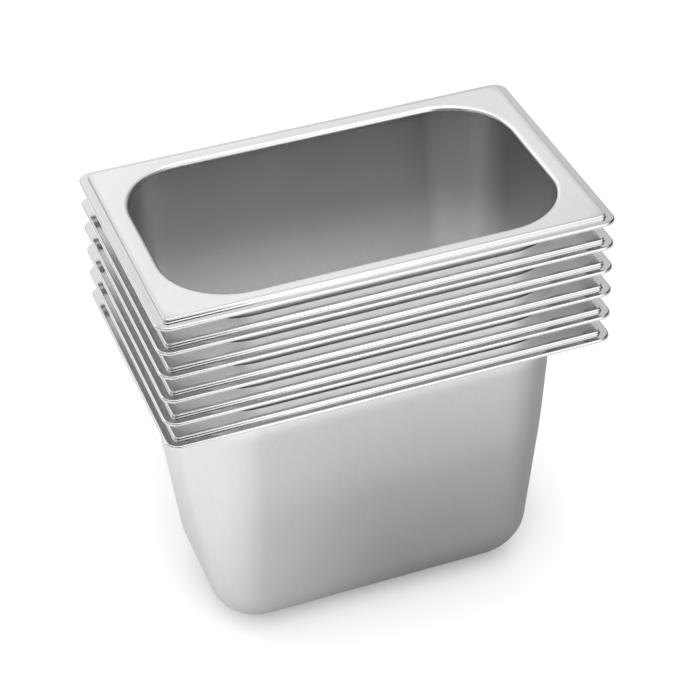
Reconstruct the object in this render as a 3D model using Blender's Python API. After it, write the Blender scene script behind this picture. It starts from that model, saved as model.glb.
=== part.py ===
"""Nested stack of six deep-drawn stainless food pans, quarter Gastronorm size, deep pattern.

Each pan is one pressing of thin sheet: a floor, four walls that lean outwards, a flange and a
stepped lip.  The pans are identical, and each one wedges on the upper walls of the pan below.

Units are metres, +Z up.  The origin is the centre of the lowest pan's floor, where it rests.
"""
import math

import bmesh
import bpy

# ---- driving dimensions ----
PAN_COUNT = 6
LENGTH = 0.265                     # outside of the lip, along X
WIDTH = 0.162                      # outside of the lip, along Y
DEPTH = 0.190                      # flange top to the underside of the floor
SHEET = 0.0007                     # sheet thickness
GAP = 0.0003                       # clearance left between two nested walls

# ---- rim ----
LIP_REACH = 0.0052                 # from the lip's outside to the flange's outline
STEP_DROP = 0.0022                 # from the flange's top down to the lip's top
LIP_BEND = 0.0013                  # outside radius where the lip turns down
LIP_SKIRT = 0.0003                 # straight run below that bend
STEP_ROOT = 0.0005                 # hollow radius between lip and step
STEP_NOSE = 0.0010                 # radius between step and flange
LIP_CORNER = 0.0082                # corner radius of the lip, seen from above

# ---- mouth, walls and floor ----
FLANGE_END_X = 0.0145              # from the lip's outside to the end of the flat flange, short ends
FLANGE_END_Y = 0.0118              # the same on the long sides
MOUTH_BEND = 0.0030                # bend from the flange down into the wall
UPPER_LEAN = math.radians(3.6)     # lean of the walls' upper part
LOWER_LEAN = math.radians(6.5)     # lean of the walls' lower part
LEAN_CHANGE = 0.080                # depth at which the lean changes
FLOOR_BEND = 0.0353                # inside radius between wall and floor
MOUTH_CORNER = 0.040               # inside corner radius of the walls, seen from above, at the mouth
MIDDLE_CORNER = 0.036              # the same where the lean changes
DEEP_CORNER = 0.021                # the same at the floor's depth, if the walls went on down to it
FLOOR_CORNER = 0.008               # corner radius of the flat floor

# Two nested walls touch when the pitch times the sine of the lean is the sheet's thickness.
NEST_PITCH = (SHEET + GAP) / math.sin(UPPER_LEAN)

# ---- facets ----
CORNER_STEPS = 5
LIP_STEPS = 2
BEND_STEPS = 2
MOUTH_STEPS = 3
FLOOR_STEPS = 4

# ---- finish ----
STEEL_COLOUR = (0.78, 0.78, 0.79, 1.0)
STEEL_ROUGHNESS = 0.28
SMOOTH_BELOW = math.radians(35)

# A station is one ring of the pan's upper surface: half length, half width, corner radius, height
# above the flange's top, and the surface's normal as an outward and an upward part.


def ring_station(inset_x, inset_y, corner, height, outward, upward):
    """A station from the insets that the ring has inside the lip's outline."""
    return (LENGTH / 2 - inset_x, WIDTH / 2 - inset_y, corner, height, outward, upward)


def arc_angles(start, end, steps):
    """Angles in radians, from start to end in equal steps."""
    return [start + (end - start) * i / steps for i in range(steps + 1)]


def rim_stations():
    """Lip and step, from the lip's lower edge inwards to the flat flange."""
    quarter = math.pi / 2
    lip_top = -STEP_DROP
    rows = [(0.0, lip_top - LIP_BEND - LIP_SKIRT, 1.0, 0.0)]
    for angle in arc_angles(0.0, quarter, LIP_STEPS):
        inset = LIP_BEND - LIP_BEND * math.cos(angle)
        height = lip_top - LIP_BEND + LIP_BEND * math.sin(angle)
        rows.append((inset, height, math.cos(angle), math.sin(angle)))
    for angle in arc_angles(quarter, 0.0, BEND_STEPS):
        inset = LIP_REACH - STEP_ROOT + STEP_ROOT * math.cos(angle)
        height = lip_top + STEP_ROOT - STEP_ROOT * math.sin(angle)
        rows.append((inset, height, math.cos(angle), math.sin(angle)))
    for angle in arc_angles(0.0, quarter, BEND_STEPS):
        inset = LIP_REACH + STEP_NOSE - STEP_NOSE * math.cos(angle)
        height = -STEP_NOSE + STEP_NOSE * math.sin(angle)
        rows.append((inset, height, math.cos(angle), math.sin(angle)))
    return [ring_station(i, i, LIP_CORNER - i, height, out, up) for i, height, out, up in rows]


def wall_inset(depth):
    """How far the inside wall lies inside the flange's end at this depth."""
    bend_end = MOUTH_BEND * (1 - math.sin(UPPER_LEAN))
    inset = MOUTH_BEND * math.cos(UPPER_LEAN) + (depth - bend_end) * math.tan(UPPER_LEAN)
    if depth > LEAN_CHANGE:
        inset += (depth - LEAN_CHANGE) * (math.tan(LOWER_LEAN) - math.tan(UPPER_LEAN))
    return inset


def wall_corner(depth):
    """Corner radius of the inside wall, which tightens faster in the lower part."""
    if depth <= LEAN_CHANGE:
        return MOUTH_CORNER + (MIDDLE_CORNER - MOUTH_CORNER) * depth / LEAN_CHANGE
    share = (depth - LEAN_CHANGE) / (DEPTH - LEAN_CHANGE)
    return MIDDLE_CORNER + (DEEP_CORNER - MIDDLE_CORNER) * share


def bowl_stations():
    """Mouth bend, walls and floor bend, from the flat flange in and down to the flat floor."""
    quarter = math.pi / 2
    rows = []
    for angle in arc_angles(quarter, UPPER_LEAN, MOUTH_STEPS):
        inset = MOUTH_BEND * math.cos(angle)
        height = -MOUTH_BEND + MOUTH_BEND * math.sin(angle)
        corner = wall_corner(-height) + MOUTH_BEND - inset
        rows.append((inset, corner, height, angle))
    middle_lean = (UPPER_LEAN + LOWER_LEAN) / 2
    rows.append((wall_inset(LEAN_CHANGE), MIDDLE_CORNER, -LEAN_CHANGE, middle_lean))

    bend_centre = SHEET - DEPTH + FLOOR_BEND
    wall_end = -bend_centre + FLOOR_BEND * math.sin(LOWER_LEAN)
    wall_end_inset = wall_inset(wall_end)
    wall_end_corner = wall_corner(wall_end)
    for angle in arc_angles(LOWER_LEAN, quarter, FLOOR_STEPS):
        share = 1 - math.cos(angle) / math.cos(LOWER_LEAN)
        inset = wall_end_inset + share * FLOOR_BEND * math.cos(LOWER_LEAN)
        corner = wall_end_corner + (FLOOR_CORNER - wall_end_corner) * share
        rows.append((inset, corner, bend_centre - FLOOR_BEND * math.sin(angle), angle))
    return [
        ring_station(FLANGE_END_X + i, FLANGE_END_Y + i, corner, height, -math.cos(angle), math.sin(angle))
        for i, corner, height, angle in rows
    ]


def under_station(station):
    """The same ring on the underside, one sheet thickness away along the normal."""
    half_x, half_y, corner, height, outward, upward = station
    shift = SHEET * outward
    return (half_x - shift, half_y - shift, corner - shift, height - SHEET * upward, outward, upward)


def ring_points(station):
    """Points of one ring, a rectangle with rounded corners, counter-clockwise from above."""
    half_x, half_y, corner, height = station[:4]
    points = []
    for quadrant, (sign_x, sign_y) in enumerate(((1, 1), (-1, 1), (-1, -1), (1, -1))):
        for step in range(CORNER_STEPS + 1):
            angle = (quadrant + step / CORNER_STEPS) * math.pi / 2
            x = sign_x * (half_x - corner) + corner * math.cos(angle)
            y = sign_y * (half_y - corner) + corner * math.sin(angle)
            points.append((x, y, height))
    return points


def pan_mesh():
    """One pan as a closed shell, standing on its floor with its centre over the origin."""
    upper = rim_stations() + bowl_stations()
    lower = [under_station(station) for station in upper]
    # From the inside floor, out over the rim, and back under to the outside floor.
    stations = upper[::-1] + lower
    mesh = bpy.data.meshes.new("food_pan")
    bm = bmesh.new()
    rings = []
    for station in stations:
        rings.append([bm.verts.new((x, y, z + DEPTH)) for x, y, z in ring_points(station)])
    count = len(rings[0])
    for inner, outer in zip(rings, rings[1:]):
        for i in range(count):
            after = (i + 1) % count
            bm.faces.new((inner[i], outer[i], outer[after], inner[after]))
    bm.faces.new(rings[0])
    bm.faces.new(rings[-1][::-1])
    bm.to_mesh(mesh)
    bm.free()
    mesh.shade_smooth()
    mesh.set_sharp_from_angle(angle=SMOOTH_BELOW)
    return mesh


def steel_material(name):
    """Stainless steel sheet with a satin drawn surface."""
    material = bpy.data.materials.new(name)
    material.use_nodes = True
    shader = material.node_tree.nodes["Principled BSDF"]
    shader.inputs["Base Color"].default_value = STEEL_COLOUR
    shader.inputs["Metallic"].default_value = 1.0
    shader.inputs["Roughness"].default_value = STEEL_ROUGHNESS
    return material


def add_pan(number, mesh):
    """One pan of the stack, its origin at the middle of its floor's underside."""
    pan = bpy.data.objects.new(f"food_pan_{number}", mesh)
    pan.location = (0.0, 0.0, (number - 1) * NEST_PITCH)
    bpy.context.scene.collection.objects.link(pan)
    pan.material_slots[0].link = "OBJECT"
    pan.material_slots[0].material = steel_material(f"pan_{number}_steel")
    return pan


def main():
    for old in list(bpy.data.objects):
        bpy.data.objects.remove(old)
    mesh = pan_mesh()
    mesh.materials.append(None)
    for number in range(1, PAN_COUNT + 1):
        add_pan(number, mesh)


main()
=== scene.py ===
# %% [markdown]
# # A nested stack of deep-drawn food pans
#
# Six identical stainless pans stand inside each other, as they come off a shelf in a deli. Each
# pan is one pressing of thin sheet, so this lesson makes one fine shell from one section curve,
# and places it six times. The engineering model gives the frame: which bodies there are, how large
# they are and how far apart they sit. Nothing here moves or resizes it.

import math

import bpy
import numpy as np
from mathutils import Matrix, Vector


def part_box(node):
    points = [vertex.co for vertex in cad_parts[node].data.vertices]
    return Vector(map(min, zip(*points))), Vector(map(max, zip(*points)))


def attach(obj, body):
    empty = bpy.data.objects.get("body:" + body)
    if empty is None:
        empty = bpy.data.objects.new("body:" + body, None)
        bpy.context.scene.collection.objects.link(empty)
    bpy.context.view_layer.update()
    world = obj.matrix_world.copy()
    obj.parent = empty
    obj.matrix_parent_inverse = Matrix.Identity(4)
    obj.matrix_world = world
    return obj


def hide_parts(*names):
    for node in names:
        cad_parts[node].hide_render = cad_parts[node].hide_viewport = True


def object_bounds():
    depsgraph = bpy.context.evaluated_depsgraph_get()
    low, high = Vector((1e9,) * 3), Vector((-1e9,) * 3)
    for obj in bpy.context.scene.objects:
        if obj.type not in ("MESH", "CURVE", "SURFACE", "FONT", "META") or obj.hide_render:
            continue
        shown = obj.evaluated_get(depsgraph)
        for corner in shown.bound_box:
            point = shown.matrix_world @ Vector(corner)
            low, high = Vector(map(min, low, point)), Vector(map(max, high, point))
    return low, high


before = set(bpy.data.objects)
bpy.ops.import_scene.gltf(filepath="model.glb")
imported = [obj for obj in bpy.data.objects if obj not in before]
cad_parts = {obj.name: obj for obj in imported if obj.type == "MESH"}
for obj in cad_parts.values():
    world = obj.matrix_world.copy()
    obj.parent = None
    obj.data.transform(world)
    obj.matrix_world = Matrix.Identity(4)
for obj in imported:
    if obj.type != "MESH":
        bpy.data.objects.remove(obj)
cad_low, cad_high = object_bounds()
print("box in mm:", [round(1000 * side, 1) for side in cad_high - cad_low])

# %% [markdown]
# ## The sizes of one pan
#
# Length, width, depth and the pitch between pans are read from the frame. The small sizes of the
# rim and the bends are the pressing tool's own: they are the same here as in the engineering
# model. A section drawn once and carried round is how the press tool itself is made, so the script
# does that too, instead of cutting and bevelling a box.

# %% Sizes, in metres
pan_low, pan_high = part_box("food_pan_1")
next_low, next_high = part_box("food_pan_2")
LENGTH, WIDTH, DEPTH = pan_high - pan_low
NEST_PITCH = next_low.z - pan_low.z
PAN_COUNT = len(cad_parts)

SHEET = 0.0007                     # sheet thickness
LIP_REACH = 0.0052                 # from the lip's outside to the flange's outline
STEP_DROP = 0.0022                 # from the flange's top down to the lip's top
LIP_BEND = 0.0013                  # outside radius where the lip turns down
LIP_SKIRT = 0.0003                 # straight run below that bend
LIP_EDGE = 0.00025                 # how far the rounded sheet edge bulges below the skirt
STEP_ROOT = 0.0005                 # hollow radius between lip and step
STEP_NOSE = 0.0010                 # radius between step and flange
LIP_CORNER = 0.0082                # corner radius of the lip, seen from above
FLANGE_END_X = 0.0145              # from the lip's outside to the end of the flange, short ends
FLANGE_END_Y = 0.0118              # the same on the long sides
MOUTH_BEND = 0.0030                # bend from the flange down into the wall
UPPER_LEAN = math.radians(3.6)     # lean of the walls' upper part
LOWER_LEAN = math.radians(6.5)     # lean of the walls' lower part
LEAN_CHANGE = 0.080                # depth at which the lean changes
LEAN_BLEND = 0.014                 # the change is spread this far above and below that depth
FLOOR_BEND = 0.0353                # inside radius between wall and floor
MOUTH_CORNER = 0.040               # inside corner radius of the walls, at the mouth
MIDDLE_CORNER = 0.036              # the same where the lean changes
DEEP_CORNER = 0.021                # the same at the floor's depth, if the walls went on down to it
FLOOR_CORNER = 0.008               # corner radius of the flat floor
FLOOR_CROWN = 0.0004               # rise of the floor's middle, which keeps it from drumming
FLANGE_DROP = 0.00030              # how far the flange sinks towards the mouth
MOUTH_START = math.radians(85)     # where the mouth's bend takes over from the sunk flange
FLANGE_POLISH = 0.3                # the flange is nearer to the satin walls than to the bright lip
print("pan in mm:", [round(1000 * v, 1) for v in (LENGTH, WIDTH, DEPTH)])
print("pitch in mm:", round(1000 * NEST_PITCH, 2), "pans:", PAN_COUNT)

# %% [markdown]
# ## The section curve
#
# Cut through the middle of a wall, the sheet runs flat across the floor, round a wide bend, up the
# leaning wall, round a tight bend on to the flange, and down a small step to the lip, which turns
# down at its edge. Straight runs and arcs that meet along the same direction give a curve without
# kinks, which matters on metal: a mirror shows the smallest kink. Each row of the section holds
# the inset on the short ends, the inset on the long sides, the corner radius seen from above, the
# height over the flange, the sheet's normal (inward part, upward part), and how far the finish has
# gone from satin to polished.

# %% Section helpers
QUARTER = math.pi / 2
INSET_X, INSET_Y, CORNER, HEIGHT, NORMAL_IN, NORMAL_UP, POLISH = range(7)    # columns of a row
RINGS = {                          # rings in each part of the section
    "lip": 10, "lip_flat": 4, "root": 6, "nose": 8, "flange": 8, "mouth": 14, "upper_wall": 16,
    "lean_change": 10, "lower_wall": 12, "floor_bend": 24, "floor": 12, "sheet_edge": 6,
}


def rows(inset_x, inset_y, corner, height, normal_in, normal_up, polish):
    """Section rows: the seven columns, each a number or an array, side by side."""
    columns = np.broadcast_arrays(inset_x, inset_y, corner, height, normal_in, normal_up, polish)
    return np.stack([np.asarray(column, float) for column in columns], axis=-1)


def spread(start, end, steps):
    """Angles or distances from start towards end in equal steps, without the end itself."""
    return np.linspace(start, end, steps, endpoint=False)


def eased(value):
    """0 to 1 with level ends: v v (3 - 2 v), v clamped."""
    value = np.clip(value, 0.0, 1.0)
    return value * value * (3 - 2 * value)


def rim_bend(centre_inset, centre_height, radius, start, end, steps, hollow=False):
    """Arc of the rim: inset = centre + r cos a, height = centre + r sin a, normal = (cos a, sin a).

    A hollow arc has its normal turned round, because the sheet's upper side faces its centre.
    """
    angle = spread(start, end, steps)
    side = -1.0 if hollow else 1.0
    inset = centre_inset + radius * np.cos(angle)
    height = centre_height + radius * np.sin(angle)
    normal_in, normal_up = side * np.cos(angle), side * np.sin(angle)
    return rows(inset, inset, LIP_CORNER - inset, height, normal_in, normal_up, 1.0)


# %% The wall at each depth


def softened_slope(depth):
    """Slope of softened(): 0 above the change, 1 below it, and a straight ramp between them."""
    return np.clip((depth - LEAN_CHANGE + LEAN_BLEND) / (2 * LEAN_BLEND), 0.0, 1.0)


def softened(depth):
    """Depth below the lean change, its kink at 0 replaced by a parabola over twice LEAN_BLEND."""
    past = softened_slope(depth)
    return LEAN_BLEND * past ** 2 + np.maximum(depth - LEAN_CHANGE - LEAN_BLEND, 0.0)


def wall_inset(depth):
    """How far the wall lies inside the flange's end: the upper lean, and the extra one below."""
    bend_end = MOUTH_BEND * (1 - math.sin(UPPER_LEAN))
    upper = MOUTH_BEND * math.cos(UPPER_LEAN) + (depth - bend_end) * math.tan(UPPER_LEAN)
    return upper + softened(depth) * (math.tan(LOWER_LEAN) - math.tan(UPPER_LEAN))


def wall_corner(depth):
    """Corner radius of the wall: it tightens slowly at first, and faster below the lean change."""
    slow = (MIDDLE_CORNER - MOUTH_CORNER) / LEAN_CHANGE
    fast = (DEEP_CORNER - MIDDLE_CORNER) / (DEPTH - LEAN_CHANGE)
    return MOUTH_CORNER + slow * depth + (fast - slow) * softened(depth)


# %% [markdown]
# ## The rim
#
# The lip hangs a little below the flange, so that a lid or a counter's edge finds a step to rest
# against, and its edge turns down to keep fingers off the cut sheet. Here the rim is seven short
# pieces of the section: skirt, lip, the lip's flat top, hollow root, step, nose and flange.

# %% The rim, from the lip's edge in to the mouth
lip_top = -STEP_DROP
lip_foot = lip_top - LIP_BEND - LIP_SKIRT
skirt = rows(0.0, 0.0, LIP_CORNER, np.array([lip_foot]), -1.0, 0.0, 1.0)
lip = rim_bend(LIP_BEND, lip_top - LIP_BEND, LIP_BEND, 2 * QUARTER, QUARTER, RINGS["lip"])
lip_flat_inset = spread(LIP_BEND, LIP_REACH - STEP_ROOT, RINGS["lip_flat"])
lip_flat = rows(lip_flat_inset, lip_flat_inset, LIP_CORNER - lip_flat_inset, lip_top, 0.0, 1.0, 1.0)
step_foot = lip_top + STEP_ROOT
root = rim_bend(
    LIP_REACH - STEP_ROOT, step_foot, STEP_ROOT, -QUARTER, 0.0, RINGS["root"], hollow=True
)
step = rows(LIP_REACH, LIP_REACH, LIP_CORNER - LIP_REACH, np.array([step_foot]), -1.0, 0.0, 1.0)
nose = rim_bend(
    LIP_REACH + STEP_NOSE, -STEP_NOSE, STEP_NOSE, 2 * QUARTER, QUARTER, RINGS["nose"]
)

POLISH_FADE = 0.25                 # share of the flange over which the lip's bright polish fades
outline = LIP_REACH + STEP_NOSE
share = spread(0.0, 1.0, RINGS["flange"])
tilt = share * (QUARTER - MOUTH_START)
flange = rows(
    outline + (FLANGE_END_X - outline) * share,
    outline + (FLANGE_END_Y - outline) * share,
    LIP_CORNER - outline + (MOUTH_CORNER + MOUTH_BEND - LIP_CORNER + outline) * share,
    -FLANGE_DROP * share ** 2, np.sin(tilt), 1.0,
    1 + (FLANGE_POLISH - 1) * np.clip(share / POLISH_FADE, 0.0, 1.0),
)
rim = np.concatenate([skirt, lip, lip_flat, root, step, nose, flange])
print("rings across the rim:", len(rim))

# %% [markdown]
# ## The bowl
#
# A punch draws the bowl down through the mouth. The upper walls lean by the few degrees that let
# the pans nest at their pitch, and the lower walls lean more, so that the punch lets go. The
# floor's bend is wide, because a tight one would tear the sheet, and the floor rises a little in
# its middle.

# %% The bowl, from the mouth down to the middle of the floor
POLISH_END = 0.010                 # depth at which the flange's polish has faded out on the wall
FLOOR_MIDDLE = 0.08                # the innermost ring, as a share of the flat floor's outline


def wall_polish(depth):
    """Share of polish on the wall: the flange's at the top, and 0 from POLISH_END down."""
    return FLANGE_POLISH * eased(1 - depth / POLISH_END)


def bowl_rows(inset, corner, height, angle):
    """Rows of the bowl: insets from the flange's end inwards, and the normal (cos a, sin a)."""
    return rows(
        FLANGE_END_X + inset, FLANGE_END_Y + inset, corner, height,
        np.cos(angle), np.sin(angle), wall_polish(-height),
    )


mouth_angle = spread(MOUTH_START, UPPER_LEAN, RINGS["mouth"])
mouth_drop = FLANGE_DROP - MOUTH_BEND * (1 - math.sin(MOUTH_START))
mouth_inset = MOUTH_BEND * np.cos(mouth_angle) + mouth_drop * math.tan(UPPER_LEAN)
mouth_height = MOUTH_BEND * (np.sin(mouth_angle) - 1) - mouth_drop
mouth_corner = wall_corner(-mouth_height) + MOUTH_BEND - mouth_inset
mouth = bowl_rows(mouth_inset, mouth_corner, mouth_height, mouth_angle)

bend_centre = SHEET - DEPTH + FLOOR_BEND
wall_start = MOUTH_BEND * (1 - math.sin(UPPER_LEAN)) + mouth_drop
wall_end = -bend_centre + FLOOR_BEND * math.sin(LOWER_LEAN)
wall_depth = np.concatenate([
    spread(wall_start, LEAN_CHANGE - LEAN_BLEND, RINGS["upper_wall"]),
    spread(LEAN_CHANGE - LEAN_BLEND, LEAN_CHANGE + LEAN_BLEND, RINGS["lean_change"]),
    spread(LEAN_CHANGE + LEAN_BLEND, wall_end, RINGS["lower_wall"]),
])
extra_lean = math.tan(LOWER_LEAN) - math.tan(UPPER_LEAN)
wall_lean = np.arctan(math.tan(UPPER_LEAN) + extra_lean * softened_slope(wall_depth))
wall = bowl_rows(wall_inset(wall_depth), wall_corner(wall_depth), -wall_depth, wall_lean)

floor_angle = spread(LOWER_LEAN, QUARTER, RINGS["floor_bend"])
turned = 1 - np.cos(floor_angle) / math.cos(LOWER_LEAN)
floor_bend = bowl_rows(
    wall_inset(wall_end) + turned * FLOOR_BEND * math.cos(LOWER_LEAN),
    wall_corner(wall_end) + (FLOOR_CORNER - wall_corner(wall_end)) * turned,
    bend_centre - FLOOR_BEND * np.sin(floor_angle), floor_angle,
)

floor_inset = wall_inset(wall_end) + FLOOR_BEND * math.cos(LOWER_LEAN)
half_x = LENGTH / 2 - FLANGE_END_X - floor_inset
half_y = WIDTH / 2 - FLANGE_END_Y - floor_inset
scale = np.linspace(1.0, FLOOR_MIDDLE, RINGS["floor"])
pan_floor = rows(
    LENGTH / 2 - half_x * scale, WIDTH / 2 - half_y * scale, FLOOR_CORNER * scale,
    SHEET - DEPTH + FLOOR_CROWN * (1 - scale ** 2) ** 2, 0.0, 1.0, 0.0,
)
upper_side = np.concatenate([rim, mouth, wall, floor_bend, pan_floor])
print("rings on the sheet's upper side:", len(upper_side))
print("flat floor in mm:", round(2000 * half_x, 1), "x", round(2000 * half_y, 1))

# %% [markdown]
# ## Thickness, and the rounded sheet edge
#
# The lower side is the upper one moved by the sheet's thickness against its normal, which keeps
# the thickness even round every bend. Solidify could do this, but here the two sides and the
# half-round edge between them are one closed path, so the shell has no seam at the rim.

# %% The closed section


def under_side(section):
    """Each row moved by SHEET against its normal, with its corner radius grown to match."""
    moved = section.copy()
    moved[:, INSET_X] -= SHEET * section[:, NORMAL_IN]
    moved[:, INSET_Y] -= SHEET * section[:, NORMAL_IN]
    moved[:, CORNER] += SHEET * section[:, NORMAL_IN]
    moved[:, HEIGHT] -= SHEET * section[:, NORMAL_UP]
    return moved


def sheet_edge(steps):
    """Half-round edge of the lip: an ellipse from its outside down and round to its inside."""
    angle = np.linspace(2 * QUARTER, 4 * QUARTER, steps + 2)[1:-1]
    inset = SHEET / 2 * (1 + np.cos(angle))
    height = lip_foot + LIP_EDGE * np.sin(angle)
    return rows(inset, inset, LIP_CORNER - inset, height, 0.0, -1.0, 1.0)


# From the middle of the inside floor, out over the rim, round the edge and back below.
edge = sheet_edge(RINGS["sheet_edge"])
section = np.concatenate([upper_side[::-1], edge, under_side(upper_side)])
print("rings in the closed section:", len(section))

# %% [markdown]
# ## Painted light and shade on the sheet, and its rougher skin
#
# Each ring gets a tone, which multiplies the steel's colour: painted shade darkens the inside
# walls, and painted light lightens the deep inside and the rim's skin, apart from the polished lip.
# Each ring also gets a gain in roughness, as if the press rubbed the walls most and left the flange
# and the deep inside nearer to the sheet's own matt skin. Both ends of the painted tone are strong.

# %% Painted light and shade, and roughness, along the section
DEEP_START = 0.045                 # inside depth where the rougher matt skin and the painted light start
DEEP_FULL = 0.105                  # inside depth from which both are full
COLLAR_START = 0.014               # outside depth down to which the rim's rougher skin and painted light reach
COLLAR_END = 0.026                 # outside depth where they have given way to the drawn wall
INSIDE_PAINTED_SHADE = 0.74                 # painted shade: tone of the inside wall, against 1 for the outside wall
DEEP_PAINTED_LIGHT = 1.44                   # painted light: the same for the deep inside
RIM_PAINTED_LIGHT = 1.33                    # painted light: the same for the rim's skin, apart from the polished lip
DEEP_GAIN = 0.12                   # how much rougher the deep skin is than the walls
RIM_GAIN = 0.10                    # the same for the rim's skin
RIM_POLISH = 0.29                  # inside rings more polished than this belong to the rim

depth = -section[:, HEIGHT]
polish = section[:, POLISH]
inside = np.arange(len(section)) < len(upper_side)
wall_inside = inside & (polish < RIM_POLISH)
deep = inside * eased((depth - DEEP_START) / (DEEP_FULL - DEEP_START))
collar_below = eased((COLLAR_END - depth) / (COLLAR_END - COLLAR_START))
collar = np.where(inside, polish > RIM_POLISH, collar_below)
collar = collar * np.clip((1 - polish) / (1 - FLANGE_POLISH), 0.0, 1.0)
# Painted shading tone: painted shade darkens the inside walls, painted light lightens the deep
# inside and the rim's skin.
painted_shading_tone = 1 + (INSIDE_PAINTED_SHADE - 1) * wall_inside + (DEEP_PAINTED_LIGHT - INSIDE_PAINTED_SHADE) * deep
painted_shading_tone = painted_shading_tone + (RIM_PAINTED_LIGHT - 1) * collar
skin_rough = DEEP_GAIN * deep + RIM_GAIN * collar
print("skin tone from", painted_shading_tone.min().round(2), "to", painted_shading_tone.max().round(2))

# %% [markdown]
# ## Carrying the section round
#
# Every ring is a rectangle with rounded corners. A ring's points are worked out as one array: each
# corner is a quarter circle of unit vectors, and each straight side is filled in with points
# between two corners, so that no face is much longer than it is wide.

# %% The grid of points
CORNER_STEPS = 22
LONG_STEPS = 18
SHORT_STEPS = 12


def corner_table():
    """For each point round a ring: two corner signs, a unit direction, and a corner's squeeze.

    A straight side's points lie between two corners, so their signs run from one corner's to the
    next one's. The squeeze is sin 2a: 1 in the middle of a corner and 0 on a straight side.
    """
    signs = np.array([(1, 1), (-1, 1), (-1, -1), (1, -1)], float)
    table = []
    for quadrant, steps in enumerate((LONG_STEPS, SHORT_STEPS, LONG_STEPS, SHORT_STEPS)):
        here, after = signs[quadrant], signs[(quadrant + 1) % 4]
        angle = (quadrant + np.linspace(0.0, 1.0, CORNER_STEPS + 1)) * QUARTER
        table.append(np.stack([
            np.full_like(angle, here[0]), np.full_like(angle, here[1]),
            np.cos(angle), np.sin(angle), np.sin(2 * (angle - quadrant * QUARTER)),
        ], axis=-1))
        weight = np.linspace(0.0, 1.0, steps + 1)[1:-1]
        side = here + (after - here) * weight[:, None]
        end = (quadrant + 1) * QUARTER
        table.append(np.stack([
            side[:, 0], side[:, 1],
            np.full_like(weight, math.cos(end)), np.full_like(weight, math.sin(end)),
            np.zeros_like(weight),
        ], axis=-1))
    return np.concatenate(table)


def grid_points(section):
    """Points [ring, place]: x = sx (a - r) + r cos t, y = sy (b - r) + r sin t, z above the floor.

    a and b are the ring's half length and half width, r its corner radius, t the direction, and sx
    and sy the corner signs.
    """
    sign_x, sign_y, cosine, sine = corner_table()[:, :4].T
    half_length = (LENGTH / 2 - section[:, INSET_X])[:, None]
    half_width = (WIDTH / 2 - section[:, INSET_Y])[:, None]
    corner = section[:, CORNER][:, None]
    x = sign_x * (half_length - corner) + corner * cosine
    y = sign_y * (half_width - corner) + corner * sine
    z = np.broadcast_to((DEPTH + section[:, HEIGHT])[:, None], x.shape)
    return np.stack([x, y, z], axis=-1)


points = grid_points(section)
print("grid of rings and places:", points.shape[:2])

# %% [markdown]
# ## Exact normals
#
# On polished metal the shading normal matters more than the outline. It is worked out from the
# surface itself: the direction along the section crossed with the direction round the ring. Where
# a flat run meets an arc the section keeps its direction, so the difference between neighbours is
# enough.

# %% Normals and distances


def unit(vectors):
    """Each vector divided by its length."""
    return vectors / np.linalg.norm(vectors, axis=-1, keepdims=True)


def grid_normals(points):
    """Unit normals that point out of the sheet: (difference along) x (difference round)."""
    around = np.roll(points, -1, axis=1) - np.roll(points, 1, axis=1)
    along = np.gradient(points, axis=0)
    return unit(np.cross(along, around))


def distance_along(points):
    """Metres along the section from the floor's middle, taken down the middle of a long side."""
    place = CORNER_STEPS + LONG_STEPS // 2
    steps = np.linalg.norm(np.diff(points[:, place], axis=0), axis=-1)
    return np.concatenate([[0.0], np.cumsum(steps)])


def distance_around(points, ring):
    """Metres round one ring, with one more entry for the way back to the start."""
    closed = np.concatenate([points[ring], points[ring][:1]])
    steps = np.linalg.norm(np.diff(closed, axis=0), axis=-1)
    return np.concatenate([[0.0], np.cumsum(steps)])


normals = grid_normals(points)
mouth_ring = len(pan_floor) + len(floor_bend) + len(wall)
section_metres = distance_along(points)
mouth_metres = distance_around(points, mouth_ring)
print("round the mouth in mm:", round(1000 * mouth_metres[-1], 1))
print("normal in the middle of the floor:", normals[0, 0].round(3))

# %% [markdown]
# ## One mesh for each pan
#
# The grid becomes quads, and each end of the section is closed by a fan of triangles round one
# middle point. The UV map holds real metres, round the pan and along the section, because the
# drawing marks of the press follow the sheet down the wall. Four attributes carry the finish: how
# polished a point is, how far into a corner it is, where the sheet is squeezed most, the painted
# light and shade of its tone, and the roughness of its skin.

# %% Faces


def grid_faces(ring_count, place_count):
    """Quads between neighbouring rings, and the two fans, as arrays of vertex numbers."""
    ring = np.arange(ring_count - 1)[:, None] * place_count
    here = np.arange(place_count)[None, :]
    after = (here + 1) % place_count
    below = ring + place_count
    quads = np.stack([ring + here, below + here, below + after, ring + after], axis=-1)
    first_pole = ring_count * place_count
    last = (ring_count - 1) * place_count
    fan = np.arange(place_count)
    turned = (fan + 1) % place_count
    first_fan = np.stack([np.full_like(fan, first_pole), fan, turned], axis=-1)
    last_fan = np.stack([np.full_like(fan, first_pole + 1), last + turned, last + fan], axis=-1)
    return quads.reshape(-1, 4), first_fan, last_fan


# %% The UV map in metres


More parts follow.
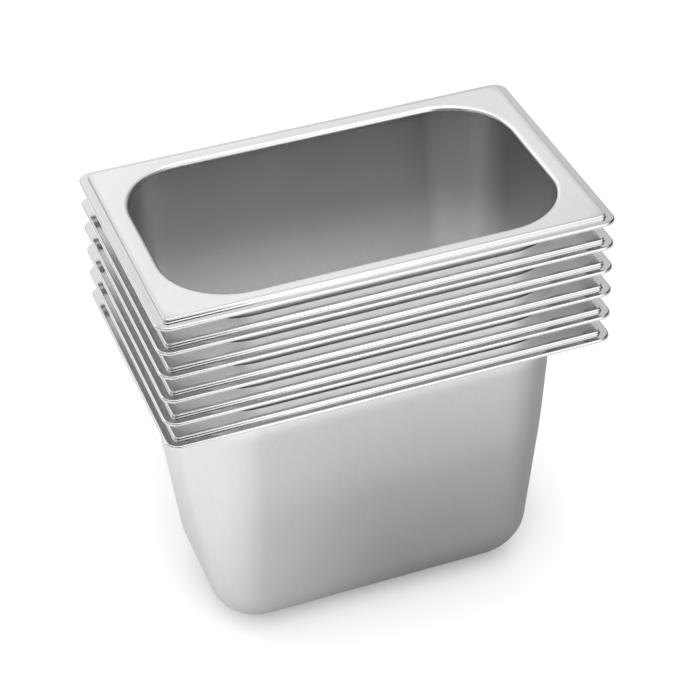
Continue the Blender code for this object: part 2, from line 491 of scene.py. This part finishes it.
def corner_uvs(ring_count, place_count):
    """UV of every face corner, in the order of grid_faces(): metres round, metres along."""
    u, v = mouth_metres, section_metres
    here = np.broadcast_to(np.arange(place_count), (ring_count - 1, place_count))
    ring = np.broadcast_to(np.arange(ring_count - 1)[:, None], here.shape)
    quads = np.stack([
        np.stack([u[here], v[ring]], -1), np.stack([u[here], v[ring + 1]], -1),
        np.stack([u[here + 1], v[ring + 1]], -1), np.stack([u[here + 1], v[ring]], -1),
    ], axis=2)
    fan = np.arange(place_count)
    middle = (u[fan] + u[fan + 1]) / 2
    first = np.stack([
        np.stack([middle, np.zeros(place_count)], -1),
        np.stack([u[fan], np.zeros(place_count)], -1),
        np.stack([u[fan + 1], np.zeros(place_count)], -1),
    ], axis=1)
    end = np.full(place_count, v[-1])
    last = np.stack([
        np.stack([middle, end], -1), np.stack([u[fan + 1], end], -1), np.stack([u[fan], end], -1),
    ], axis=1)
    return np.concatenate([quads.reshape(-1, 2), first.reshape(-1, 2), last.reshape(-1, 2)])


# %% The mesh, with its normals, UVs and attributes


def pan_mesh(name, lift):
    """One pan's closed mesh, lifted by its place in the stack, with normals, UVs and finish."""
    ring_count, place_count = points.shape[:2]
    poles = np.array([points[0].mean(axis=0), points[-1].mean(axis=0)])
    places = np.concatenate([points.reshape(-1, 3), poles]) + np.array([0.0, 0.0, lift])
    quads, first_fan, last_fan = grid_faces(ring_count, place_count)
    mesh = bpy.data.meshes.new(name)
    mesh.from_pydata(places, [], quads.tolist() + first_fan.tolist() + last_fan.tolist())
    mesh.shade_smooth()
    shading = np.concatenate([normals.reshape(-1, 3), [(0.0, 0.0, 1.0), (0.0, 0.0, -1.0)]])
    mesh.normals_split_custom_set_from_vertices(shading)

    uv_map = mesh.uv_layers.new(name="metres")
    uv_map.data.foreach_set("uv", corner_uvs(ring_count, place_count).astype(np.float32).ravel())

    finishes = {
        "rim_polish": np.repeat(polish, place_count),
        "corner_squeeze": np.tile(corner_table()[:, -1], ring_count),
        "painted_shading_tone": np.repeat(painted_shading_tone, place_count),
        "skin_rough": np.repeat(skin_rough, place_count),
    }
    for label, values in finishes.items():
        with_poles = np.append(values, [values[0], values[-1]])
        attribute = mesh.attributes.new(label, "FLOAT", "POINT")
        attribute.data.foreach_set("value", with_poles.astype(np.float32))
    return mesh


# %% [markdown]
# ## Helpers for the materials
#
# The steel, the shade on the floor and the lit dome are all built from the same few steps: noise
# on stretched coordinates, a range moved to another range, and plain sums and products.

# %% Node helpers


def add_node(tree, kind, **settings):
    """A new node of this kind, with its properties set by name."""
    node = tree.nodes.new(kind)
    for name, value in settings.items():
        setattr(node, name, value)
    return node


def linked_noise(tree, coordinates, detail, stretch):
    """Noise texture on coordinates that are first stretched by three factors."""
    mapping = add_node(tree, "ShaderNodeMapping")
    mapping.inputs["Scale"].default_value = stretch
    noise = add_node(tree, "ShaderNodeTexNoise")
    noise.inputs["Scale"].default_value = 1.0
    noise.inputs["Detail"].default_value = detail
    tree.links.new(coordinates, mapping.inputs["Vector"])
    tree.links.new(mapping.outputs["Vector"], noise.inputs["Vector"])
    return noise.outputs["Fac"]


def ranged(tree, value, low, high, to_low, to_high):
    """A Map Range node that takes low..high to to_low..to_high, clamped."""
    node = add_node(tree, "ShaderNodeMapRange")
    node.inputs["From Min"].default_value = low
    node.inputs["From Max"].default_value = high
    node.inputs["To Min"].default_value = to_low
    node.inputs["To Max"].default_value = to_high
    tree.links.new(value, node.inputs["Value"])
    return node.outputs["Result"]


def combined(tree, operation, *values):
    """A Math node on one or two values, each a socket or a number."""
    node = add_node(tree, "ShaderNodeMath", operation=operation)
    for socket, value in zip(node.inputs, values):
        if isinstance(value, (int, float)):
            socket.default_value = value
        else:
            tree.links.new(value, socket)
    return node.outputs["Value"]


def product(tree, first, second):
    """Two values multiplied."""
    return combined(tree, "MULTIPLY", first, second)


def total(tree, first, *others):
    """Two or more values added up, from the first to the last."""
    for value in others:
        first = combined(tree, "ADD", first, value)
    return first


# %% [markdown]
# ## Stainless steel: satin walls, polished rim
#
# The press leaves the walls satin, with fine marks that run down the wall, and the rim is polished
# bright afterwards. One metal shader does both, and the polish attribute moves its roughness from
# one to the other. The tone drifts slowly over the sheet and has a fine even grain, and the lip
# has hairline scratches from lids and other pans. Such faint unevenness is what tells the eye that
# it is sheet metal and not a plain grey surface.

# %% Tones, roughness and noises of the steel
STEEL_DARK = (0.56, 0.56, 0.563, 1.0)
STEEL_LIGHT = (0.655, 0.655, 0.658, 1.0)
CLOUD_SHARE = 0.4                  # how far each pattern takes the tone from dark to light
STREAK_SHARE = 0.2
GRAIN_SHARE = 0.8
# painted light: the polished rim's tone is painted lighter than the satin walls, the metal being
# the same
POLISH_PAINTED_LIGHT = 0.3

WALL_ROUGHNESS = 0.295             # before marks, corners, skin and clouds add to it
MARK_ROUGHNESS = 0.03              # the most that the marks add
CORNER_ROUGHNESS = 0.03            # the most that a corner adds
CLOUD_ROUGHNESS = 0.02             # the most that clouds add or take away
CLOUD_RANGE = (0.3, 0.7)           # values of the clouds between which that goes from least to most
RIM_ROUGHNESS = 0.10               # between scratches
SCRATCH_ROUGHNESS = 0.06           # the most that a scratch adds
SCRATCH_RANGE = (0.62, 0.72)       # values of the noise from which a scratch starts, and is full

BUMP_STRENGTH = 0.5
BUMP_DISTANCE = 0.00012
MARK_HEIGHT = 0.25                 # height of the marks, against 1 for the waves

# Each noise: the coordinates it runs on, its detail, and its stretch. Marks and streaks run on the
# UV map, fine round the pan and long down the wall; the others on the object's own X, Y and Z. The
# waves are the slow unevenness of pressed sheet, which bends a reflection a little.
NOISES = {
    "marks": ("metres", 4.0, (700.0, 14.0, 1.0)),
    "streaks": ("metres", 3.0, (220.0, 12.0, 1.0)),
    "clouds": ("place", 3.0, (14.0, 14.0, 14.0)),
    "grain": ("place", 1.0, (1100.0, 1100.0, 1100.0)),
    "scratches": ("place", 2.0, (900.0, 70.0, 900.0)),
    "waves": ("place", 1.0, (22.0, 22.0, 9.0)),
}


# %% The steel


def stainless(name):
    """Stainless sheet whose painted shading, roughness and bump follow the mesh's four attributes.
    """
    material = bpy.data.materials.new(name)
    material.use_nodes = True
    tree = material.node_tree
    shader = tree.nodes["Principled BSDF"]
    shader.inputs["Metallic"].default_value = 1.0

    coordinates = {
        "place": add_node(tree, "ShaderNodeTexCoord").outputs["Object"],
        "metres": add_node(tree, "ShaderNodeUVMap", uv_map="metres").outputs["UV"],
    }
    polish, squeeze, painted_shading_tone, skin_rough = [
        add_node(tree, "ShaderNodeAttribute", attribute_name=label).outputs["Fac"]
        for label in ("rim_polish", "corner_squeeze", "painted_shading_tone", "skin_rough")
    ]
    marks, streaks, clouds, grain, scratches, waves = [
        linked_noise(tree, coordinates[kind], detail, stretch)
        for kind, detail, stretch in NOISES.values()
    ]
    satin = combined(tree, "SUBTRACT", 1.0, polish)

    tone = add_node(tree, "ShaderNodeMix", data_type="RGBA")
    tone.inputs["A"].default_value = STEEL_DARK
    tone.inputs["B"].default_value = STEEL_LIGHT
    blend = total(
        tree, product(tree, clouds, CLOUD_SHARE), product(tree, streaks, STREAK_SHARE),
        product(tree, product(tree, grain, satin), GRAIN_SHARE),
        # painted light: the more polished, the lighter the tone
        product(tree, polish, POLISH_PAINTED_LIGHT),
    )
    tree.links.new(blend, tone.inputs["Factor"])
    # Painted light and shade: the painted shading tone scales the colour, darker on the inside
    # walls, lighter on the deep inside and the rim's skin.
    shaded_colour = add_node(tree, "ShaderNodeVectorMath", operation="SCALE")
    tree.links.new(tone.outputs["Result"], shaded_colour.inputs["Vector"])
    tree.links.new(painted_shading_tone, shaded_colour.inputs["Scale"])
    tree.links.new(shaded_colour.outputs["Vector"], shader.inputs["Base Color"])

    wall_rough = total(
        tree, product(tree, marks, MARK_ROUGHNESS), WALL_ROUGHNESS,
        product(tree, squeeze, CORNER_ROUGHNESS), skin_rough,
        ranged(tree, clouds, *CLOUD_RANGE, -CLOUD_ROUGHNESS, CLOUD_ROUGHNESS),
    )
    scratch_rough = ranged(tree, scratches, *SCRATCH_RANGE, 0.0, SCRATCH_ROUGHNESS)
    rim_rough = total(tree, scratch_rough, RIM_ROUGHNESS)
    roughness = total(tree, product(tree, wall_rough, satin), product(tree, rim_rough, polish))
    tree.links.new(roughness, shader.inputs["Roughness"])

    bump = add_node(tree, "ShaderNodeBump")
    bump.inputs["Strength"].default_value = BUMP_STRENGTH
    bump.inputs["Distance"].default_value = BUMP_DISTANCE
    height = total(tree, waves, product(tree, marks, MARK_HEIGHT))
    tree.links.new(product(tree, height, satin), bump.inputs["Height"])
    tree.links.new(bump.outputs["Normal"], shader.inputs["Normal"])
    return material


pan_steel = stainless("drawn_stainless")
print("nodes in the steel:", len(pan_steel.node_tree.nodes))

# %% [markdown]
# ## Six pans
#
# Each pan rides on its own body, so that lifting one out of the stack in the motion model lifts
# its fine shell as well.

# %% A check on the shell


def shell_facts(mesh):
    """How many triangles a mesh has, and its volume: the sum of a . (b x c) / 6 over them.

    The volume is above zero when the faces look out.
    """
    mesh.calc_loop_triangles()
    places = np.zeros(3 * len(mesh.vertices))
    mesh.vertices.foreach_get("co", places)
    turns = np.zeros(3 * len(mesh.loop_triangles), int)
    mesh.loop_triangles.foreach_get("vertices", turns)
    first, second, third = places.reshape(-1, 3)[turns.reshape(-1, 3)].transpose(1, 0, 2)
    return len(mesh.loop_triangles), np.einsum("ij,ij->i", first, np.cross(second, third)).sum() / 6


# %% Place the pans
for number in range(1, PAN_COUNT + 1):
    name = f"drawn_pan_{number}"
    mesh = pan_mesh(name, (number - 1) * NEST_PITCH)
    mesh.materials.append(pan_steel)
    pan = bpy.data.objects.new(name, mesh)
    bpy.context.scene.collection.objects.link(pan)
    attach(pan, f"pan_{number}")
    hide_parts(f"food_pan_{number}")

triangles, volume = shell_facts(mesh)
print("triangles in one pan:", triangles)
print("steel in one pan in cubic cm, above zero when the faces look out:", round(1e6 * volume, 1))

# %% [markdown]
# ## Floor
#
# A plain pale floor. It is large enough to fill the view, because polished steel also shows what
# lies far from it.

# %% Plain stage pieces, and the floor
FLOOR_REACH = 6.0
FLOOR_WHITE = (0.95, 0.95, 0.95, 1.0)
STAGE_ROUGHNESS = 0.9


def plain_material(name, colour):
    """A plain diffuse material for the studio."""
    material = bpy.data.materials.new(name)
    material.use_nodes = True
    shader = material.node_tree.nodes["Principled BSDF"]
    shader.inputs["Base Color"].default_value = colour
    shader.inputs["Roughness"].default_value = STAGE_ROUGHNESS
    shader.inputs["Specular IOR Level"].default_value = 0.0
    return material


def flat_card(name, centre, along, across, material):
    """A rectangle from its centre and its two half sides."""
    centre, along, across = Vector(centre), Vector(along), Vector(across)
    near, far = centre - across, centre + across
    corners = [near - along, near + along, far + along, far - along]
    mesh = bpy.data.meshes.new(name)
    mesh.from_pydata(corners, [], [(0, 1, 2, 3)])
    mesh.materials.append(material)
    card = bpy.data.objects.new(name, mesh)
    bpy.context.scene.collection.objects.link(card)
    return card


flat_card(
    "studio_floor", (0.0, 0.0, cad_low.z), (FLOOR_REACH, 0.0, 0.0), (0.0, FLOOR_REACH, 0.0),
    plain_material("studio_floor_white", FLOOR_WHITE),
)
print("floor side in m:", 2 * FLOOR_REACH)

# %% [markdown]
# ## Studio light
#
# Steel has hardly any colour of its own: it shows the room. So the room is a dome of soft glows,
# one for each large diffused lamp of a product studio: overhead, high in front, along the front,
# and behind. A glow fades smoothly to nothing, so the satin walls get soft bands and no hard
# patches.

# %% The glows
# Each glow: turn from the front (-Y) towards +X and rise above the floor, both in degrees, then how
# tight it is and how bright.
GLOWS = {
    "overhead": (0, 90, 8, 2.0),
    "high_front": (0, 58, 10, 0.9),
    "front": (5, 28, 22, 2.4),
    "front_right": (25, 28, 22, 1.1),
    "front_left": (-35, 28, 22, 3.6),
    "left": (-90, 28, 22, 0.6),
    "back_left": (-135, 28, 22, 2.1),
    "back": (180, 28, 22, 1.05),
    "back_right": (150, 28, 22, 0.40),
}
DOME_LEVEL = 0.30
CAMERA_WHITE = 1.1                 # what the camera itself sees beyond the floor
NEST_BOUNCES = 12                  # light goes back and forth between nested pans


# %% The dome


def from_stack(turn, rise):
    """Unit vector from the stack: turn runs from the front (-Y) to +X, rise up from the floor."""
    turn, rise = math.radians(turn), math.radians(rise)
    level = math.cos(rise)
    return Vector((math.sin(turn) * level, -math.cos(turn) * level, math.sin(rise)))


def studio_dome(name):
    """World whose brightness is DOME_LEVEL + the sum of b exp(k (cos t - 1)) over the glows.

    b is a glow's brightness, k how tight it is, and t the angle from its middle.
    """
    world = bpy.data.worlds.new(name)
    world.use_nodes = True
    tree = world.node_tree
    direction = add_node(tree, "ShaderNodeTexCoord").outputs["Generated"]
    level = DOME_LEVEL
    for turn, rise, tightness, brightness in GLOWS.values():
        toward = add_node(tree, "ShaderNodeVectorMath", operation="DOT_PRODUCT")
        toward.inputs[1].default_value = from_stack(turn, rise)
        tree.links.new(direction, toward.inputs[0])
        away = combined(tree, "SUBTRACT", toward.outputs["Value"], 1.0)
        glow = combined(tree, "EXPONENT", product(tree, away, tightness))
        level = total(tree, product(tree, glow, brightness), level)
    to_camera = add_node(tree, "ShaderNodeLightPath").outputs["Is Camera Ray"]
    seen = combined(tree, "MAXIMUM", level, product(tree, to_camera, CAMERA_WHITE))
    background = tree.nodes["Background"]
    tree.links.new(seen, background.inputs["Strength"])
    background.inputs["Color"].default_value = (1.0, 1.0, 1.0, 1.0)
    return world


bpy.context.scene.world = studio_dome("studio_dome")
bpy.context.scene.cycles.glossy_bounces = NEST_BOUNCES
print("glows:", len(GLOWS))

# %% [markdown]
# ## Dark cards
#
# Bright metal in a pale room needs something dark to mirror, or its lines are lost. So black cards
# stand in the room, where the rim's dark lines come from. They are seen in reflections only, so
# they throw no shadow.

# %% Dark cards
# Each card: turn and rise of its middle, then half its width and half its height, all in degrees.
CARDS = {
    "front_left_card": (-22.0, 36.0, 26.0, 17.0),
    "right_card": (100.0, 35.0, 14.0, 17.0),
}
CARD_DISTANCE = 1.45
CARD_BLACK = (0.01, 0.01, 0.01, 1.0)


def facing(turn, rise, half_turn, half_rise):
    """Middle and two half sides of a rectangle that faces the stack and spans these half angles."""
    toward = from_stack(turn, rise)
    sideways = Vector((0.0, 0.0, 1.0)).cross(toward).normalized()
    upwards = toward.cross(sideways)
    middle = (cad_low + cad_high) / 2 + toward * CARD_DISTANCE
    wide = sideways * CARD_DISTANCE * math.tan(math.radians(half_turn))
    tall = upwards * CARD_DISTANCE * math.tan(math.radians(half_rise))
    return middle, wide, tall


def reflected_only(card):
    """Hides a stage piece from everything but mirror reflections."""
    card.visible_camera = False
    card.visible_diffuse = False
    card.visible_shadow = False
    card.visible_transmission = False


card_black = plain_material("card_black", CARD_BLACK)
for name, angles in CARDS.items():
    reflected_only(flat_card(name, *facing(*angles), card_black))
print("cards:", ", ".join(CARDS))

# %% [markdown]
# ## A shade on the floor
#
# The lower part of the front wall mirrors the floor before it. A dark tint lies there, in
# reflections only, so that the wall darkens towards its lower right. No real floor does this: it
# is a lighting aid, like the cards.

# %% Shade on the floor
SHADE_MIDDLE = (0.25, -0.10, 0.0008)    # a hair above the floor
SHADE_REACH = 0.45
SHADE_NEAR = (-0.34, -0.06)        # Y between which the tint grows from nothing to its strongest
SHADE_ACROSS = (-0.17, 0.02)       # X between which it does the same
SHADE_STRENGTH = 0.66


def floor_shade(name):
    """Dark tint whose strength is the product of two ramps, one along Y and one along X."""
    material = plain_material(name, CARD_BLACK)
    tree = material.node_tree
    split = add_node(tree, "ShaderNodeSeparateXYZ")
    place = add_node(tree, "ShaderNodeTexCoord").outputs["Object"]
    tree.links.new(place, split.inputs["Vector"])
    forward = ranged(tree, split.outputs["Y"], *SHADE_NEAR, 0.0, SHADE_STRENGTH)
    rightward = ranged(tree, split.outputs["X"], *SHADE_ACROSS, 0.0, 1.0)
    strength = product(tree, forward, rightward)
    tree.links.new(strength, tree.nodes["Principled BSDF"].inputs["Alpha"])
    return material


reflected_only(flat_card(
    "floor_shade_card", SHADE_MIDDLE, (SHADE_REACH, 0.0, 0.0), (0.0, SHADE_REACH, 0.0),
    floor_shade("floor_shade"),
))
print("shade side in m:", 2 * SHADE_REACH)

# %% [markdown]
# ## Camera
#
# A long lens from the front left, looking down into the top pan, so that the long sides stay
# nearly parallel.

# %% Camera
CAMERA_PLACE = Vector((-0.35444, -1.00832, 0.97508))
CAMERA_AIM = Vector((-0.046488, -0.136302, 0.26963))
CAMERA_ROLL = math.radians(-1.83)
LENS = 117.45
SENSOR = 36.0

back = (CAMERA_PLACE - CAMERA_AIM).normalized()
level_right = Vector((0.0, 0.0, 1.0)).cross(back).normalized()
level_up = back.cross(level_right)
right = math.cos(CAMERA_ROLL) * level_right + math.sin(CAMERA_ROLL) * level_up
up = back.cross(right)
lens = bpy.data.cameras.new("studio_camera")
lens.lens = LENS
lens.sensor_width = SENSOR
lens.clip_start = 0.05
lens.clip_end = 50.0
camera = bpy.data.objects.new("studio_camera", lens)
turned_camera = Matrix((right, up, back)).transposed().to_4x4()
camera.matrix_world = Matrix.Translation(CAMERA_PLACE) @ turned_camera
bpy.context.scene.collection.objects.link(camera)
bpy.context.scene.camera = camera
bpy.context.scene.view_settings.view_transform = "Standard"
print("camera distance in m:", round((CAMERA_PLACE - CAMERA_AIM).length, 3))
